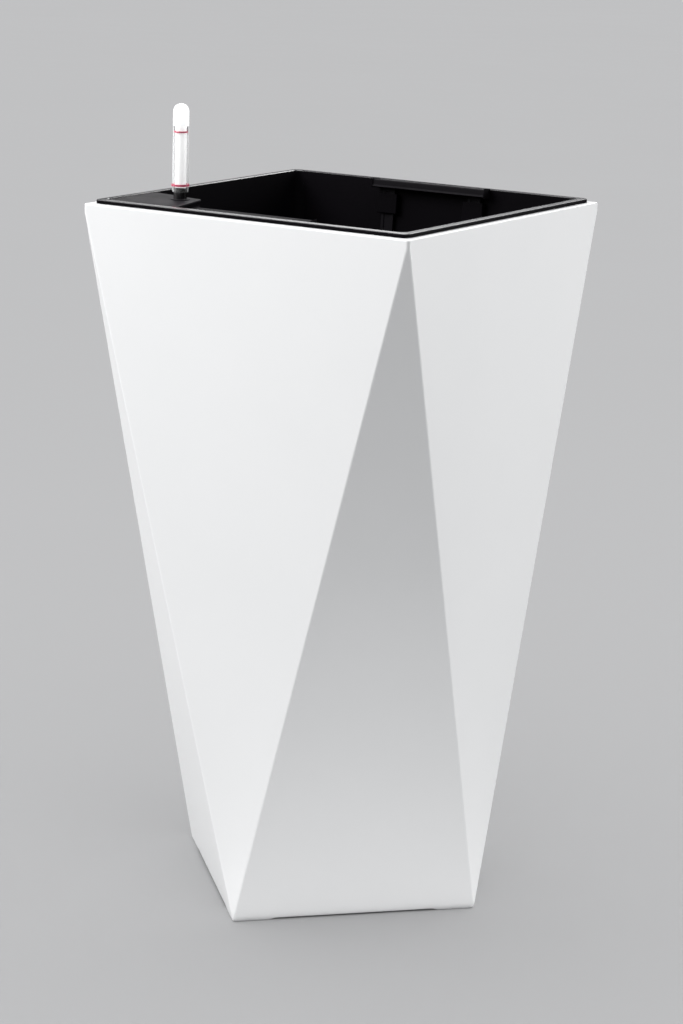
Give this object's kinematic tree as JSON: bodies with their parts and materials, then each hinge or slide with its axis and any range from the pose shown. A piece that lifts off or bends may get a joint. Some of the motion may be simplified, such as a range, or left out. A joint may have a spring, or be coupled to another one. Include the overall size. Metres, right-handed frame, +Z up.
{
  "type": "self watering planter",
  "caption": "Tall faceted planter with a lift-out liner, pull-up handles, a water reservoir under a perforated separator, a corner filling shaft and a float gauge.",
  "frame": {"origin": "centre of the planter's square base, on the surface that it stands on", "axes": "+Z up along the planter's height; X and Y along the sides of its square mouth; the gauge is in the -X -Y corner and the two handles are on the -Y and +Y walls"},
  "size_m": [0.395, 0.395, 0.8535],
  "materials": {
    "shell_white": "smooth white high-gloss moulded plastic",
    "liner_black": "fine satin black moulded plastic",
    "separator_grey": "matt dark grey moulded plastic",
    "seal_rubber": "matt black rubber",
    "gauge_clear": "clear polished plastic",
    "mark_red": "glossy translucent red",
    "rod_white": "smooth white plastic",
    "stem_steel": "drawn stainless wire",
    "float_foam": "closed-cell foam"
  },
  "bodies": {
    "shell": {"outer_shell": "shell_white"},
    "shell_plug": {"shell_drain_plug": "seal_rubber"},
    "liner": {"liner": "liner_black", "handle_guide_back_left": "liner_black", "handle_guide_back_right": "liner_black", "handle_guide_front_left": "liner_black", "handle_guide_front_right": "liner_black"},
    "liner_plug": {"liner_drain_plug": "separator_grey", "plug_seal": "seal_rubber"},
    "back_handle": {"handle_back": "liner_black"},
    "front_handle": {"handle_front": "liner_black"},
    "separator_set": {"separator": "separator_grey", "supply_shaft": "liner_black", "soil_cup_1": "separator_grey", "soil_cup_2": "separator_grey", "soil_cup_3": "separator_grey", "soil_cup_4": "separator_grey", "separator_leg_1": "separator_grey", "separator_leg_2": "separator_grey", "separator_leg_3": "separator_grey", "separator_leg_4": "separator_grey"},
    "cover": {"shaft_cover": "liner_black"},
    "gauge": {"gauge_neck": "liner_black", "gauge_guide_tube": "liner_black", "gauge_tube": "gauge_clear", "max_ring": "mark_red", "min_ring": "mark_red"},
    "float": {"indicator_rod": "rod_white", "float_stem": "stem_steel", "float_body": "float_foam"}
  },
  "joints": [
    {"name": "shell_plug_pull", "type": "slide", "parent": "shell", "child": "shell_plug", "axis": [0, 0, 1], "range_m": [0, 0.03]},
    {"name": "liner_lift", "type": "slide", "parent": "shell", "child": "liner", "axis": [0, 0, 1], "range_m": [0, 0.36]},
    {"name": "liner_plug_pull", "type": "slide", "parent": "liner", "child": "liner_plug", "axis": [0, 0, -1], "range_m": [0, 0.02]},
    {"name": "back_handle_pull", "type": "slide", "parent": "liner", "child": "back_handle", "axis": [0, 0.0835, 0.9965], "range_m": [0, 0.064]},
    {"name": "front_handle_pull", "type": "slide", "parent": "liner", "child": "front_handle", "axis": [0, -0.0835, 0.9965], "range_m": [0, 0.064]},
    {"name": "separator_lift", "type": "slide", "parent": "liner", "child": "separator_set", "axis": [0, 0, 1], "range_m": [0, 0.34]},
    {"name": "cover_lift", "type": "slide", "parent": "separator_set", "child": "cover", "axis": [0, 0, 1], "range_m": [0, 0.1]},
    {"name": "gauge_lift", "type": "slide", "parent": "cover", "child": "gauge", "axis": [0, 0, 1], "range_m": [0, 0.34]},
    {"name": "float_travel", "type": "slide", "parent": "gauge", "child": "float", "axis": [0, 0, 1], "range_m": [-0.0813, 0]}
  ]
}
